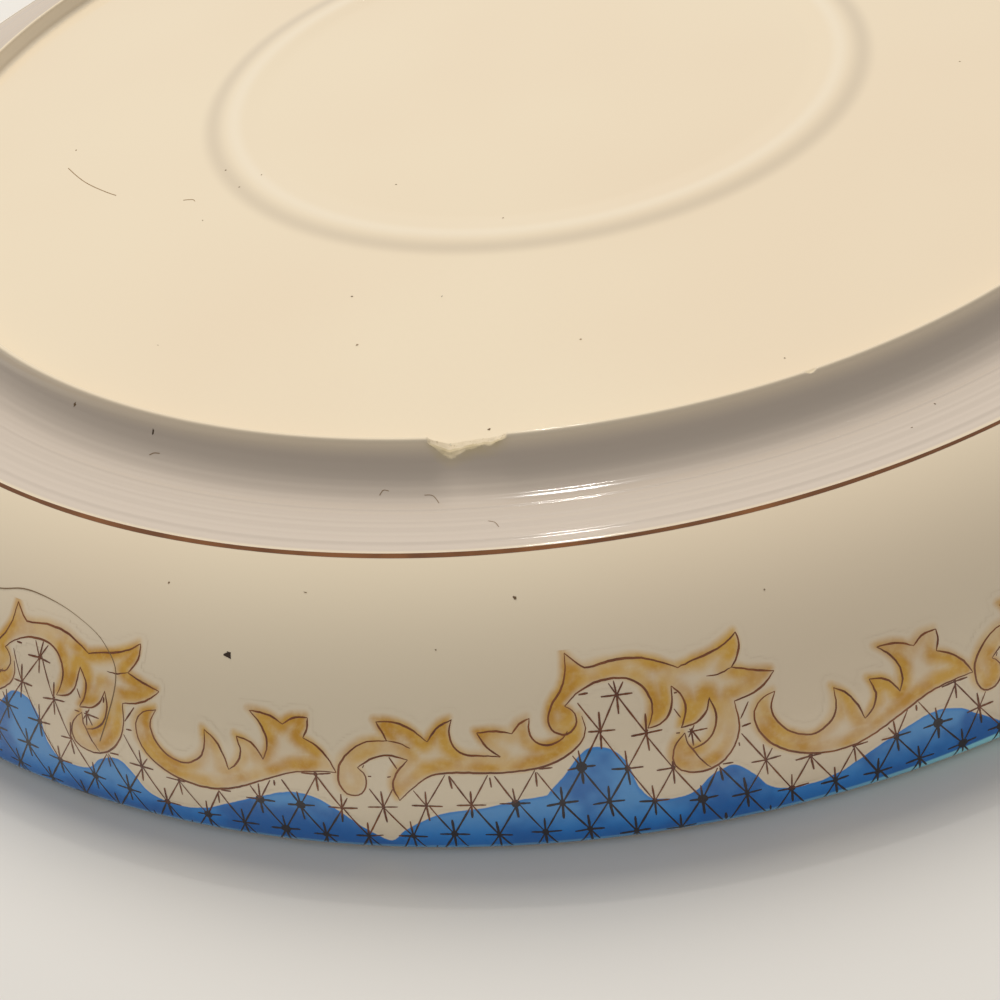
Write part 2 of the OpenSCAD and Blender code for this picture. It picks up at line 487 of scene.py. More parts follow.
# %% Strokes of the arch
ARCH = {
    "volute": [(3.6, 21.2), (3.4, 19.0), (2.7, 17.4), (1.6, 16.0), (1.1, 14.4), (1.6, 13.2), (3.0, 12.9),
               (4.0, 13.9), (3.9, 15.1), (3.0, 15.8)],
    "inner": [(3.0, 15.8), (4.3, 16.9), (6.6, 17.9), (9.2, 18.0), (11.0, 17.2), (12.0, 15.6), (12.0, 14.0),
              (11.3, 12.4)],
    "lobe_1": [(11.3, 12.4), (12.9, 12.8), (14.0, 14.1), (14.4, 16.4)],
    "cut_1": [(14.4, 16.4), (15.4, 15.0), (15.4, 13.4), (14.7, 11.9)],
    "lobe_2": [(14.7, 11.9), (16.4, 12.2), (17.6, 13.2), (18.1, 14.5)],
    "cut_2": [(18.1, 14.5), (18.5, 12.8), (18.1, 11.1), (17.0, 9.9), (15.5, 9.4)],
    "curl_in": [(15.0, 11.3), (15.1, 10.2), (15.5, 9.4), (16.2, 8.1), (17.1, 6.9)],
    "hook": [(15.0, 11.3), (13.9, 10.2), (13.4, 8.8), (13.9, 7.3), (15.9, 6.6), (18.2, 7.2), (19.9, 8.9),
             (20.7, 11.1), (20.6, 13.6)],
    "tip_2_low": [(20.6, 13.6), (22.6, 14.0), (24.2, 14.8), (25.3, 15.8)],
    "tip_2_top": [(25.3, 15.8), (23.4, 16.3), (21.0, 17.1)],
    "tip_1_low": [(21.0, 17.1), (21.9, 18.2), (22.3, 19.3), (22.2, 20.5)],
    "tip_1_top": [(22.2, 20.5), (21.0, 19.7), (19.2, 19.0), (17.2, 18.6), (15.4, 18.1)],
    "outer": [(15.4, 18.1), (13.8, 18.9), (11.6, 19.7), (8.8, 19.9), (6.2, 19.5), (5.2, 19.7), (3.6, 21.2)],
    "fold": [(21.0, 17.1), (19.5, 16.7), (18.2, 16.7)],
}
print("strokes in the arch:", len(ARCH))

# %% Strokes of the wave
WAVE = {
    "under": [(25.0, 13.7), (23.4, 13.2), (22.4, 11.8), (22.7, 9.7), (24.3, 7.6), (27.3, 6.0), (31.0, 5.4),
              (34.2, 6.0), (37.8, 7.5), (41.2, 8.8), (44.4, 9.2), (46.3, 9.2)],
    "hollow": [(25.0, 13.7), (24.3, 12.3), (24.6, 10.6), (26.0, 8.9), (28.2, 8.1), (30.2, 9.0), (31.0, 10.5),
               (31.1, 12.5)],
    "leaf_1": [(31.1, 12.5), (32.4, 11.5), (33.3, 9.9), (33.8, 8.2)],
    "cut_1": [(33.8, 8.2), (34.9, 9.2), (35.4, 10.6), (35.0, 12.3)],
    "leaf_2": [(35.0, 12.3), (36.5, 11.9), (37.4, 11.1), (38.0, 10.0)],
    "cut_2": [(38.0, 10.0), (38.6, 11.5), (38.4, 13.0), (37.7, 14.2), (36.6, 15.3)],
    "leaf_3": [(36.6, 15.3), (38.2, 15.2), (39.5, 14.8), (40.5, 14.2)],
    "leaf_4": [(40.5, 14.2), (41.8, 15.0), (43.4, 15.1)],
    "notch": [(43.4, 15.1), (43.3, 14.0), (42.8, 12.9)],
    "tip": [(42.8, 12.9), (44.3, 12.1), (45.5, 10.8), (46.3, 9.2)],
}
print("strokes in the wave:", len(WAVE))

# %% Strokes of the bulb
BULB = {
    "curl": [(48.7, 9.9), (49.5, 9.0), (49.4, 7.6), (48.5, 6.6), (47.2, 6.7), (46.5, 8.0), (46.7, 10.0),
             (47.9, 11.6), (49.8, 12.8), (52.2, 13.0)],
    "leaf_1_low": [(52.2, 13.0), (51.7, 14.0), (51.1, 15.0)],
    "leaf_1_top": [(51.1, 15.0), (53.0, 15.0), (55.0, 14.2), (56.6, 12.9)],
    "leaf_2_low": [(56.6, 12.9), (57.8, 14.4), (59.4, 15.2)],
    "leaf_2_top": [(59.4, 15.2), (59.0, 13.8), (59.4, 12.3), (60.6, 11.4), (62.4, 11.2), (64.2, 11.0)],
    "leaf_3_low": [(64.2, 11.0), (63.0, 12.0), (62.4, 12.9), (62.0, 13.7)],
    "leaf_3_top": [(62.0, 13.7), (63.9, 13.8), (65.7, 13.4)],
    "leaf_4_low": [(65.7, 13.4), (66.6, 14.4), (67.7, 14.9)],
    "leaf_4_top": [(67.7, 14.9), (67.5, 13.5), (68.1, 12.3), (69.4, 11.9), (70.8, 12.4), (71.5, 13.2)],
    "end": [(71.5, 13.2), (72.6, 13.8), (73.2, 14.6)],
    "under": [(73.2, 14.6), (73.4, 13.2), (72.7, 11.8), (70.8, 10.4), (68.2, 9.5), (64.0, 9.2), (59.4, 9.4),
              (56.6, 9.1), (54.5, 7.6), (52.9, 6.1)],
    "lobe": [(52.9, 6.1), (52.4, 7.8), (53.0, 9.5), (54.3, 10.9)],
    "throat": [(54.3, 10.9), (52.4, 11.4), (50.4, 11.0), (48.7, 9.9)],
    "vein": [(52.2, 13.0), (53.4, 12.8), (54.7, 12.2)],
}
print("strokes in the bulb:", len(BULB))

# %% Close each scroll's outline
# Which strokes close each scroll's outline, in order, with - for one drawn backwards.
# The arch closes along the upper half of its inward curl, drawn backwards and straight.
LOOPS = (
    (ARCH, "volute inner lobe_1 cut_1 lobe_2 cut_2 -curl_mid hook tip_2_low tip_2_top "
           "tip_1_low tip_1_top outer"),
    (WAVE, "hollow leaf_1 cut_1 leaf_2 cut_2 leaf_3 leaf_4 notch tip -under"),
    (BULB, "curl leaf_1_low leaf_1_top leaf_2_low leaf_2_top leaf_3_low leaf_3_top leaf_4_low leaf_4_top "
           "end under lobe throat"),
)
# The bulb's end lies under the next arch, so it closes the outline but is never inked.
NOT_DRAWN = ("end",)


def smooth_line(points, per_span=6):
    """A Catmull-Rom curve through the points, which ends exactly on the last one."""
    p = np.array([points[0], *points, points[-1]], float)
    t = np.linspace(0, 1, per_span, endpoint=False)[:, None]
    out = []
    for a, b, c, d in zip(p[:-3], p[1:-2], p[2:-1], p[3:]):
        out.append(0.5 * (2 * b + (c - a) * t + (2 * a - 5 * b + 4 * c - d) * t ** 2
                          + (3 * b - a - 3 * c + d) * t ** 3))
    return np.vstack([*out, p[-1:]])


def loop_points(scroll, order):
    """One scroll's outline as a closed list of points."""
    out = []
    for name in order.split():
        if name == "-curl_mid":
            part = np.array(scroll["curl_in"][2::-1])
        else:
            part = smooth_line(scroll[name.lstrip("-")])
            part = part[::-1] if name.startswith("-") else part
        out.append(part[:-1])
    return np.vstack(out)


loops = [loop_points(*each) for each in LOOPS]
print("points round each scroll:", [len(each) for each in loops])

# %% [markdown]
# ## Ochre and blue washes
#
# The colours were brushed on inside the print. The ochre is strongest along the lines
# and nearly gone in the middle of the scrolls, and it sits a little up and to the left
# of them, because it was done by eye. The blue lies in uneven hills along the rim. The
# glaze has worn thin over the rim's edge, and a pale cyan strip there, mostly at the
# right, is a painted reflection. Painting them in a material alone needs a way to say
# how far each place is from a line, so a fine grid is laid on the wall, and each of its
# points carries two distances: into the scrolls, and into the blue. The material turns
# distances into colour. A picture could do it too, but it would blur up close.

# %% Distances on the flat border
BLUE_HILLS = [(0, 6.2), (2, 8.4), (4.5, 11.0), (7, 10.8), (8.7, 8.8), (9.5, 6.0), (11, 4.2), (14.5, 4.0),
              (17.2, 6.0), (19.5, 6.7), (21.4, 5.1), (23, 3.0), (26, 2.0), (30, 2.4), (33.5, 3.9), (37, 5.3),
              (41, 6.4), (44, 5.7), (46.5, 3.9), (49, 1.7), (51.2, 0.5), (53.2, 2.3), (57, 4.3), (62, 5.1),
              (66, 5.9), (PITCH, 6.2)]
hills = smooth_line(BLUE_HILLS, 8)
# Scrolls that lie farther off along the border than this, in mm, are left out.
REACH = 3


def scroll_depth(points):
    """Distance in mm to the nearest scroll line, above 0 inside a scroll."""
    x, y = points[:, 0], points[:, 1]
    nearest, inside = np.full(len(points), 1e9), np.zeros(len(points), bool)
    for loop in loops:
        for shift in (-PITCH, 0.0, PITCH):
            a = loop + (shift, 0)
            if a[:, 0].max() < x.min() - REACH or a[:, 0].min() > x.max() + REACH:
                continue
            crossings = np.zeros(len(points), int)
            for p, q in zip(a, np.roll(a, -1, axis=0)):
                d = q - p
                t = np.clip(((x - p[0]) * d[0] + (y - p[1]) * d[1]) / (d @ d + 1e-12), 0, 1)
                nearest = np.minimum(nearest, np.hypot(x - p[0] - t * d[0], y - p[1] - t * d[1]))
                spans = (p[1] > y) != (q[1] > y)
                if spans.any():
                    crossings += spans & (x < p[0] + (y - p[1]) * d[0] / (d[1] if d[1] else 1e-9))
            inside |= crossings % 2 == 1
    return np.where(inside, nearest, -nearest)


def blue_depth(points):
    """Distance in mm into the blue, above 0 in it, measured up the wall and eased on steep slopes."""
    u = np.mod(points[:, 0], PITCH)
    left, top, right = (np.interp(u + step, hills[:, 0], hills[:, 1]) for step in (-0.2, 0, 0.2))
    return (top - points[:, 1]) / np.sqrt(1 + (np.abs(right - left) / 0.4) ** 2)


print("the blue stands", round(float(hills[:, 1].max()), 1), "mm high at most")

# %% Wrap the flat border round the wall
# How far the washes and the ink lie above the visible skin, which is SKIN inside the box.
PRINT_LIFT, INK_LIFT = 0.012, 0.024


def on_wall(u, v, lift):
    """Points in mm for places on the flat border, wrapped round the wall and the rim's edge."""
    u, v = np.asarray(u, float), np.asarray(v, float)
    lift = lift - SKIN
    up = np.maximum(v, 0) / WALL_CURVE
    down = np.minimum(v, 0) / RIM_ROUND
    r = np.where(v >= 0, WALL_C + (WALL_CURVE + lift) * np.cos(up),
                 RIM_R - RIM_ROUND + (RIM_ROUND + lift) * np.cos(down))
    z = RIM_ROUND + np.where(v >= 0, (WALL_CURVE + lift) * np.sin(up), (RIM_ROUND + lift) * np.sin(down))
    a = math.radians(FIRST_ANGLE) + u / RIM_R
    return np.stack([r * np.sin(a), -r * np.cos(a), z], axis=-1)


print("the first repeat starts at, mm:", on_wall(0, 0, 0).round(1))

# %% Lay the washes on the wall
CELL, GRID_LOW, GRID_HIGH = 0.36, -1.6, 21.5
# How far the ochre bleeds past a line, and the step from a wash to its own line.
WASH_EDGE, WASH_SLIP = 0.85, (0.25, -0.28)
# How far past its edge the blue's grid goes on.
BLUE_EDGE = 0.2

grid_n, grid_m = round(PITCH / CELL), round((GRID_HIGH - GRID_LOW) / CELL)
gu, gv = np.meshgrid(np.linspace(0, PITCH, grid_n + 1), np.linspace(GRID_LOW, GRID_HIGH, grid_m + 1),
                     indexing="ij")
grid = np.stack([gu.ravel(), gv.ravel()], axis=1)
gold, blue = scroll_depth(grid + WASH_SLIP), blue_depth(grid)
ci, cj = np.meshgrid(np.arange(grid_n), np.arange(grid_m), indexing="ij")
k0 = (ci * (grid_m + 1) + cj).ravel()
cells = np.stack([k0, k0 + grid_m + 1, k0 + grid_m + 2, k0 + 1], axis=1)
is_gold = gold[cells].max(axis=1) > -WASH_EDGE
is_blue = ~is_gold & (blue[cells].max(axis=1) > -BLUE_EDGE)


def lay_wash(name, chosen, repeat):
    """One repeat of a wash, with only the grid points it uses."""
    used, faces = np.unique(cells[chosen], return_inverse=True)
    points = on_wall(grid[used, 0] + repeat * PITCH, grid[used, 1], PRINT_LIFT)
    return add_mesh(name, points, faces.reshape(-1, 4), {"gold": gold[used], "blue": blue[used]})


print("wash cells in a repeat: ochre", int(is_gold.sum()), "and blue", int(is_blue.sum()))

# %% Colour of the washes
OCHRE, OCHRE_DEEP, OCHRE_PALE = tint(222, 172, 66), tint(208, 150, 34), tint(232, 198, 122)
BLUE_DEEP, BLUE_MID, BLUE_LIGHT = tint(0, 96, 178), tint(6, 128, 216), tint(88, 158, 222)
# Pale cyan for the rim's edge: worn thin glaze, brightened into a painted reflection.
BLUE_WEAR_AND_REFLECTION = tint(160, 240, 252)


def wash_material(name):
    """Both washes over the glaze, by the two distances."""
    n = Nodes(name)
    glossy(n)
    into_gold, into_blue = n.attribute("gold"), n.attribute("blue")
    x, z = n.coordinate("X"), n.coordinate("Z")
    wobble = n.math("MULTIPLY", n.math("SUBTRACT", n.noise(2.2, 3), 0.5), 0.9)

    # Blue, deeper in patches and near the rim, and on the rim's edge a pale cyan strip, mostly at the right:
    # worn thin glaze with a painted reflection.
    blue_edge = n.math("ADD", into_blue, n.math("MULTIPLY", wobble, 0.45))
    low_blue = n.mix(n.ramp(z, 1.5 * MM, 6.5 * MM), BLUE_MID, BLUE_LIGHT)
    patches = n.mix(n.ramp(n.noise(9.0, 3), 0.45, 0.62, 0.0, 0.85), low_blue, BLUE_DEEP)
    brushed = n.mix(n.ramp(blue_edge, 0.05, 0.5, 0.6, 0.0), patches, BLUE_MID)
    shallow = n.mix(n.ramp(z, 0.4 * MM, 4.0 * MM, 0.6, 0.0), brushed, BLUE_DEEP)
    # Painted reflection: a pale cyan strip along the rim's edge, stronger towards the right.
    strip = n.math("SUBTRACT", z, n.ramp(x, 0, 60 * MM, 0.0, 1.0 * MM))
    wear_and_reflection = n.math("MULTIPLY", n.ramp(strip, 1.2 * MM, 1.5 * MM, 1.0, 0.0), n.ramp(x, 0, 40 * MM, 0.25, 1.0))
    thin = n.mix(wear_and_reflection, shallow, BLUE_WEAR_AND_REFLECTION)
    under = n.mix(n.ramp(blue_edge, -0.07, 0.07), glaze_colour(n), thin)

    # Ochre, strong along the lines and fading to both sides of them.
    gold_in = n.math("ADD", into_gold, n.math("MULTIPLY", wobble, 1.1))
    strong = n.ramp(gold_in, 0.6, 2.2, 1.0, 0.12)
    strong = n.math("MULTIPLY", strong, n.ramp(n.noise(5.5, 2), 0.36, 0.58, 0.5, 1.0))
    tone = n.mix(n.ramp(n.noise(3.5, 3), 0.40, 0.62), OCHRE, OCHRE_DEEP)
    tone = n.mix(n.ramp(n.noise(0.6, 2), 0.45, 0.75, 0.0, 0.35), tone, OCHRE_PALE)
    halo = n.ramp(n.math("ADD", into_gold, n.math("MULTIPLY", wobble, 0.6)), -0.8, 0.3)
    inside = n.math("MULTIPLY", halo, n.ramp(into_gold, -WASH_EDGE + 0.04, -WASH_EDGE + 0.3))
    n.set(Base_Color=n.mix(n.math("MULTIPLY", strong, inside), under, tone))
    return n.material


ochre_wash, blue_wash = wash_material("ochre_wash"), wash_material("blue_wash")
for k in range(REPEATS):
    for kind, chosen, material in (("ochre_wash", is_gold, ochre_wash), ("blue_wash", is_blue, blue_wash)):
        piece = lay_wash(f"{kind}_{k + 1:02d}", chosen, k)
        piece.data.materials.append(material)
        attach(piece, "root")
print("washes laid:", 2 * REPEATS, "pieces")

# %% [markdown]
# ## The printed lines
#
# The print is brown ink under the glaze. A transfer line swells and thins like a
# quill's, so each stroke is a thin ribbon that is widest in its middle and fades to a
# point. Ribbons stay crisp at any distance, where a painted texture would go soft.
# Inside the scrolls the ink is brown. The star lattice between them is darker, and
# over the blue it is nearly black. The lattice's rows drop by one row in each repeat,
# so they run round the bowl without a seam.

# %% Ribbons
BLOT_CORNERS = 7


def resample(points, step):
    """The same line with points a step apart, ends kept."""
    p = np.asarray(points, float)
    s = np.concatenate([[0], np.cumsum(np.linalg.norm(np.diff(p, axis=0), axis=1))])
    t = np.linspace(0, s[-1], max(2, math.ceil(s[-1] / step) + 1))
    return np.stack([np.interp(t, s, p[:, 0]), np.interp(t, s, p[:, 1])], axis=1)


class Ribbons:
    """Thin strips on the flat border, gathered into one mesh."""

    def __init__(self):
        self.points, self.faces, self.dark = [], [], []

    def add(self, line, widths, dark):
        """One strip along a line; widths and dark are given at its points."""
        line = np.asarray(line, float)
        d = np.gradient(line, axis=0)
        d /= np.linalg.norm(d, axis=1)[:, None] + 1e-9
        half = np.stack([-d[:, 1], d[:, 0]], axis=1) * (np.asarray(widths) / 2)[:, None]
        k = sum(len(p) for p in self.points)
        n = len(line)
        self.points.append(np.stack([line - half, line + half], axis=1).reshape(-1, 2))
        self.faces += [(k + 2 * i, k + 2 * i + 2, k + 2 * i + 3, k + 2 * i + 1) for i in range(n - 1)]
        self.dark.append(np.repeat(np.broadcast_to(dark, n), 2))

    def blot(self, centre, radius, dark, turned):
        """A small round blot, as a ring of corners."""
        k = sum(len(p) for p in self.points)
        a = np.arange(BLOT_CORNERS) * 2 * math.pi / BLOT_CORNERS + turned
        self.points.append(np.stack([np.cos(a), np.sin(a)], axis=1) * radius + centre)
        self.faces.append(tuple(range(k, k + BLOT_CORNERS)))
        self.dark.append(np.full(BLOT_CORNERS, dark))

    def object(self, name, shift, lift=INK_LIFT):
        """All the strips as one object, moved along the border by shift."""
        flat = np.vstack(self.points)
        xyz_mm = on_wall(flat[:, 0] + shift, flat[:, 1], lift)
        return add_mesh(name, xyz_mm, self.faces, {"dark": np.concatenate(self.dark)})


def pen(line, width, draw, thin=0.35):
    """Widths of a drawn stroke: swelling in the middle, thin at its ends, a little unsteady."""
    t = np.linspace(0, 1, len(line))
    swell = thin + (1 - thin) * np.sin(math.pi * t) ** 0.6
    shake = 1 + 0.14 * np.sin(t * draw.uniform(9, 16) + draw.uniform(0, 6))
    return width * swell * shake


trial = pen(np.zeros(21), 0.3, np.random.default_rng(1))
print("a stroke swells from", round(float(trial[0]), 2), "to", round(float(trial.max()), 2), "mm")

# %% Scroll lines
LINE_WIDTH = 0.22
LINE_WIDTHS = {"fold": 0.15, "vein": 0.15, "curl_in": 0.18, "outer": 0.25, "inner": 0.24, "under": 0.24}


def scroll_ink(ribbons, draw):
    """The strokes of the three scrolls, a little unsteady."""
    for scroll, _ in LOOPS:
        for name, points in scroll.items():
            if name in NOT_DRAWN:
                continue
            line = resample(smooth_line(points), 0.45)
            line = line + draw.normal(0, 0.018, line.shape)
            ribbons.add(line, pen(line, LINE_WIDTHS.get(name, LINE_WIDTH), draw), draw.uniform(0.0, 0.2))


print("scroll strokes in a repeat:", sum(len(scroll) for scroll, _ in LOOPS) - len(NOT_DRAWN))

# %% Rows of the star lattice
STAR_STEP, FIRST_STAR = PITCH / 14.5, 1.5
ROW_STEP = 4.0
# How high the lattice reaches below the scrolls, and the height of one of its rows.
ROOF = ((0, 11.6), (1.5, 12.0), (3, 12.6), (4, 14.5), (4.8, 18.3), (6.8, 18.8), (9, 18.9), (11, 18.4),
        (12.6, 17.6), (14.3, 17.3), (18, 16), (20, 15.3), (20.6, 14), (22.2, 13.7), (22.6, 12.5),
        (23.5, 11.5), (24.5, 9.5), (25.5, 8.4), (28, 7), (34, 7), (38, 8.7), (42, 10.5), (46, 9.3),
        (47.5, 8.5), (50, 11.5), (52, 12), (53, 11), (54, 9.5), (56.4, 10.5), (60, 10.4), (64, 10.1),
        (PITCH, 11.6))
ROW_ONE = ((0, 5.3), (3.5, 5.05), (13, 3.6), (18, 3.05), (27.6, 1.6), (38, 0.9), (46, 0.8), (56, 1.5),
           (PITCH, 1.3))
# The ink ends just below the rim's edge, and just short of the scroll lines.
INK_LOW, INK_GAP = -0.8, 0.12


def row_one(u):
    """Height of the lattice's second row, which drops by one row in each repeat."""
    whole = math.floor(u / PITCH)
    height = float(np.interp(u - whole * PITCH, [p[0] for p in ROW_ONE], [p[1] for p in ROW_ONE]))
    return height - ROW_STEP * whole


def star(u, k):
    """Centre of the star at u in row k."""
    return np.array([u, row_one(u) + ROW_STEP * (k - 1)])


def shown(points):
    """Which points lie between the rim and the scrolls, and not inside a scroll."""
    u = np.mod(points[:, 0], PITCH)
    roof = np.interp(u, [p[0] for p in ROOF], [p[1] for p in ROOF])
    clear = scroll_depth(np.stack([u, points[:, 1]], 1)) < -INK_GAP
    return (points[:, 1] > INK_LOW) & (points[:, 1] < roof) & clear


print("stars in a row of one repeat:", round(PITCH / STAR_STEP, 1))

# %% Draw the star lattice
RAYS = ((0, 1.95), (0, -1.95), (1.6, 0.0), (-1.6, 0.0))
LACE_WIDTH, RAY_WIDTH = 0.17, 0.21


def lattice_ink(ribbons, draw):
    """Stars in rows, joined to the two stars above, with only the parts that show."""
    lines = []
    for k in range(-1, 7):
        first = FIRST_STAR if k % 2 else FIRST_STAR + STAR_STEP / 2
        for j in range(-1, 16):
            u = first + STAR_STEP * j
            if not 0 <= u < PITCH:
                continue
            c = star(u, k) + draw.normal(0, 0.10, 2)
            for side in (-1, 1):
                end = star(u + side * STAR_STEP / 2, k + 1) + draw.normal(0, 0.08, 2)
                lines.append((c, end, LACE_WIDTH))
            for ray in RAYS:
                lines.append((c, c + ray + draw.normal(0, 0.12, 2), RAY_WIDTH))
            if shown(c[None])[0]:
                wet = blue_depth(c[None])[0] > 0
                size = draw.uniform(0.28, 0.62) if wet else draw.uniform(0.18, 0.3)
                ribbons.blot(c, size, 1.0 if wet else 0.45, draw.uniform(0, 1))
    everything = [resample([a, b], 0.4) for a, b, _ in lines]
    seen = np.split(shown(np.vstack(everything)), np.cumsum([len(e) for e in everything])[:-1])
    for (_, _, width), line, keep in zip(lines, everything, seen):
        start = None
        for i, ok in enumerate([*keep, False]):
            if ok and start is None:
                start = i
            if not ok and start is not None:
                if i - start > 1:
                    part = line[start:i]
                    wet = np.clip(blue_depth(part) / 0.4, 0, 1)
                    wide = pen(part, width * draw.uniform(0.85, 1.2), draw, 0.6) * (1 + 0.25 * wet)
                    ribbons.add(part, wide, 0.2 + 0.75 * wet)
                start = None


print("lines drawn from each star:", len(RAYS) + 2)

# %% Print the lines on the wall
INK_BROWN, INK_BROWN_PALE, INK_DARK = tint(112, 52, 10), tint(142, 78, 24), tint(16, 20, 34)
ink = Nodes("brown_ink")
glossy(ink)
soft_brown = ink.mix(ink.ramp(ink.noise(1.6, 2), 0.3, 0.7), INK_BROWN, INK_BROWN_PALE)
ink.set(Base_Color=ink.mix(ink.attribute("dark"), soft_brown, INK_DARK))

count = 0
for k in range(REPEATS):
    draw = np.random.default_rng(100 + k)
    lines = Ribbons()
    scroll_ink(lines, draw)
    lattice_ink(lines, draw)
    piece = lines.object(f"ink_{k + 1:02d}", k * PITCH)
    piece.data.materials.append(ink.material)
    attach(piece, "root")
    count += len(lines.faces)
print("ink faces:", count)

# %% [markdown]
# ## The turned line
#
# The thin brown line under the shelf was drawn with a brush while the bowl turned on a
# wheel, so it is even, and only its thickness and strength drift a little.

# %% Draw the turned line
LINE_V = WALL_LENGTH - 0.45
LINE_POINTS = 721
LINE_BROWN, LINE_BROWN_PALE = tint(112, 68, 34), tint(140, 88, 44)
u_line = np.linspace(0, 2 * math.pi * RIM_R, LINE_POINTS)
widths = 0.48 + 0.06 * np.sin(u_line / 31) + 0.04 * np.sin(u_line / 7.3)
ribbon = Ribbons()
ribbon.add(np.stack([u_line, np.full(LINE_POINTS, LINE_V)], axis=1), widths, 0.0)
line = ribbon.object("turned_line", 0, PRINT_LIFT)
line_ink = Nodes("turned_line_ink")
glossy(line_ink)
drift = line_ink.ramp(line_ink.noise(6, 3), 0.35, 0.7)
line_ink.set(Base_Color=line_ink.mix(drift, LINE_BROWN, LINE_BROWN_PALE))
line.data.materials.append(line_ink.material)
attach(line, "root")
print("line length:", round(u_line[-1]), "mm")

# %% [markdown]
# ## Wear and dirt
#
# A hair-thin crack arcs over the left end of the border. A few dark crumbs, dust spots
# and short fibres lie on the wall, the shelf and the base. Each is a small flat shape
# laid on the glaze, because a spot painted in the glaze's own material would need the
# place of every speck written into it.

# %% Where the crack, the specks and the fibres lie
# Place along the border and height on it.
CRACK = ((-3.5, 21.3), (0.5, 21.9), (3.5, 22.7), (6.5, 22.8), (10.5, 22.3), (14.0, 21.3), (16.5, 20.2),
         (18.2, 18.8), (19.2, 17.5), (19.5, 16.0), (19.3, 14.2), (18.7, 12.0), (18.0, 10.0), (17.3, 8.3))
# Angle round the bowl, distance from its axis, size and darkness of each speck.
BASE_SPECKS = (
    (-10.7, 84.5, 0.20, 0.6), (-30.0, 58.5, 0.16, 0.7), (12.7, 82.2, 0.16, 0.6), (-25.4, 68.2, 0.2, 0.25),
    (-36.6, 89.8, 0.20, 0.9), (-44.7, 89.7, 0.22, 0.6), (19.5, 96.0, 0.16, 0.7), (16.9, 98.0, 0.14, 0.6),
    (-74.6, 46.6, 0.14, 0.5), (-67.4, 46.7, 0.16, 0.6), (-62.7, 54.2, 0.12, 0.4), (-41.1, 33.2, 0.16, 0.6),
    (-18.6, 57.5, 0.15, 0.7), (-68.1, 43.0, 0.12, 0.4), (-92.2, 67.1, 0.2, 0.35), (-12.9, 39.9, 0.13, 0.4),
    (-45.1, 75.6, 0.14, 0.05), (-2.8, 69.2, 0.16, 0.05), (70.0, 60.0, 0.15, 0.5), (150.0, 52.0, 0.18, 0.5),
)
# The same for the wall: place along the border, height on it, size and darkness.
WALL_SPECKS = (
    (33.6, 20.8, 0.42, 1.0), (42.0, 28.3, 0.20, 0.5), (67.1, 27.3, 0.24, 0.6), (95.0, 24.0, 0.12, 0.4),
    (24.0, 27.5, 0.14, 0.4), (58.0, 22.4, 0.12, 0.4),
)
# Fibres on the foot, the shelf and the base: points of angle and distance from the axis.
FIBRES = (((-36.4, 91.7), (-36.1, 91.4), (-35.6, 91.3)), ((-18.0, 93.0), (-17.8, 92.4), (-17.4, 92.5)),
          ((-14.9, 93.0), (-14.3, 93.1), (-13.8, 94.2)), ((-10.4, 97.6), (-10.0, 97.9), (-9.7, 98.7)),
          ((-87.8, 67.9), (-83.2, 65.6), (-79.4, 63.2), (-77.5, 61.9)),
          ((-70.2, 54.1), (-69.4, 53.0), (-68.6, 52.9)), ((118.0, 71.0), (121.0, 72.4), (124.5, 71.8)))
print("specks:", len(BASE_SPECKS) + len(WALL_SPECKS), "and fibres:", len(FIBRES))

# %% Helpers for small flat shapes
DIRT_LIFT = 0.02
CRUMB_CORNERS = 7
outline_top = profile[on_top & (profile[:, 0] > FOOT_R - LAND_W / 2)]
outline_top = outline_top[np.argsort(outline_top[:, 0])]
outline_base = profile[on_top & (profile[:, 0] < FOOT_R - LAND_W / 2 - FOOT_LEAN - 0.8)]
draw = np.random.default_rng(21)
points, faces, dark = [], [], []


def on_bowl(r, degrees):
    """Points in mm that lie on the base, the foot's outside or the shelf."""
    r, a = np.asarray(r, float), np.radians(np.asarray(degrees, float))
    z = np.where(r > FOOT_R, np.interp(r, outline_top[:, 0], outline_top[:, 1]),
                 np.interp(r, outline_base[:, 0], outline_base[:, 1]))
    return np.stack([r * np.sin(a), -r * np.cos(a), z + DIRT_LIFT], axis=-1)


def crumb(size):
    """An uneven little outline round a middle."""
    a = np.sort(draw.uniform(0, 2 * math.pi, CRUMB_CORNERS))
    reach = size * draw.uniform(0.65, 1.25, CRUMB_CORNERS)
    return np.stack([np.cos(a), np.sin(a)], axis=1) * reach[:, None]


def strip_along(way, half):
    """A thin strip along a line, as points and faces."""
    side = np.gradient(way, axis=0)
    side = np.stack([-side[:, 1], side[:, 0]], axis=1) / np.linalg.norm(side, axis=1)[:, None] * half
    return (np.stack([way - side, way + side], axis=1).reshape(-1, 2),
            [(2 * i, 2 * i + 2, 2 * i + 3, 2 * i + 1) for i in range(len(way) - 1)])


def add_shape(shape, strength, shape_faces=None):
    """Gathers one shape, which is a single face unless its faces are given."""
    k = sum(len(p) for p in points)
    points.append(shape)
    for face in shape_faces or [range(len(shape))]:
        faces.append(tuple(k + i for i in face))
    dark.append(np.full(len(shape), strength))


print("the base stands at", round(float(on_bowl(60, 0)[2]), 2), "mm and the shelf at",
      round(float(on_bowl(98, 0)[2]), 2))

